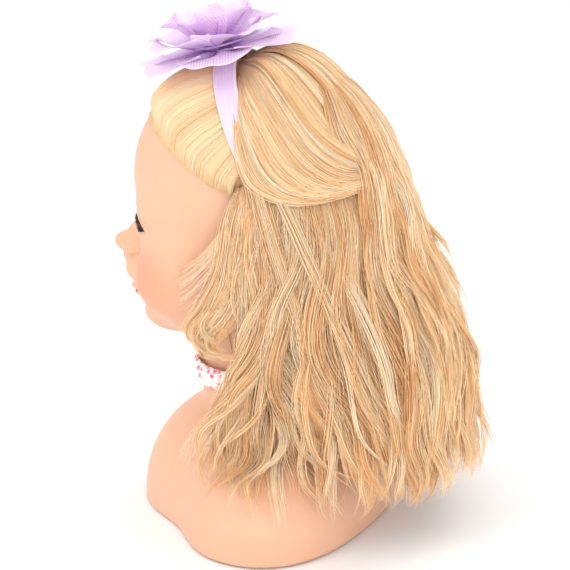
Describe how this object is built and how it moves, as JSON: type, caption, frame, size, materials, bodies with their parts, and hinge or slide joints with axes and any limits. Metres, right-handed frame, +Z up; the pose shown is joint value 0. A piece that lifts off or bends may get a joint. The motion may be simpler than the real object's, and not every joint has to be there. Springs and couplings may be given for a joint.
{
  "type": "doll styling head",
  "caption": "Child's hair-styling doll head on a bust: vinyl head that turns, long rooted blonde hair, ribbon headband with a gauze flower, fabric choker.",
  "frame": {"origin": "on the surface the bust stands on, under the neck's turning axis", "axes": "+Z up, the face looks towards -Y, the head's left side is at +X"},
  "size_m": [0.199, 0.2169, 0.3007],
  "materials": {
    "peach_vinyl": "satin, soft vinyl",
    "ivory_plastic": "moulded plastic",
    "rubber": "matt anti-slip rubber",
    "steel": "plain steel screw",
    "eye_white": "polished acrylic",
    "eye_lens": "polished acrylic over a brown iris",
    "lashes": "fine fibre",
    "hair": "long glossy synthetic fibre",
    "ribbon": "ribbed satin with plain hems",
    "felt": "thin felt",
    "gauze": "sheer checked organza",
    "floral_cotton": "printed cotton, small flowers and leaves"
  },
  "bodies": {
    "bust": {"bust_shell": "peach_vinyl", "base_plate": "ivory_plastic", "foot_pad_front_left": "rubber", "foot_pad_front_right": "rubber", "foot_pad_rear_left": "rubber", "foot_pad_rear_right": "rubber", "hair_lengths_back": "hair", "hair_lock_left": "hair", "hair_lock_right": "hair", "choker_band": "floral_cotton", "choker_stud": "ivory_plastic"},
    "head": {"neck_plug": "ivory_plastic", "neck_washer": "ivory_plastic", "neck_retainer": "ivory_plastic", "neck_screw": "steel", "head_shell": "peach_vinyl", "eye_left": "eye_white", "eye_right": "eye_white", "cornea_left": "eye_lens", "cornea_right": "eye_lens", "eyelashes_left": "lashes", "eyelashes_right": "lashes", "hair_front": "hair", "hair_crown": "hair", "hair_side_left": "hair", "hair_side_right": "hair", "hair_back": "hair", "headband_core": "ivory_plastic", "headband_ribbon": "ribbon", "flower_backing": "felt", "flower_petals_outer": "gauze", "flower_petals_middle": "gauze", "flower_petals_inner": "gauze", "flower_heart": "gauze"}
  },
  "joints": [
    {"name": "neck_swivel", "type": "hinge", "parent": "bust", "child": "head", "pos_m": [0, 0, 0.0815], "axis": [0, 0, 1], "range_deg": [-45, 45]}
  ]
}
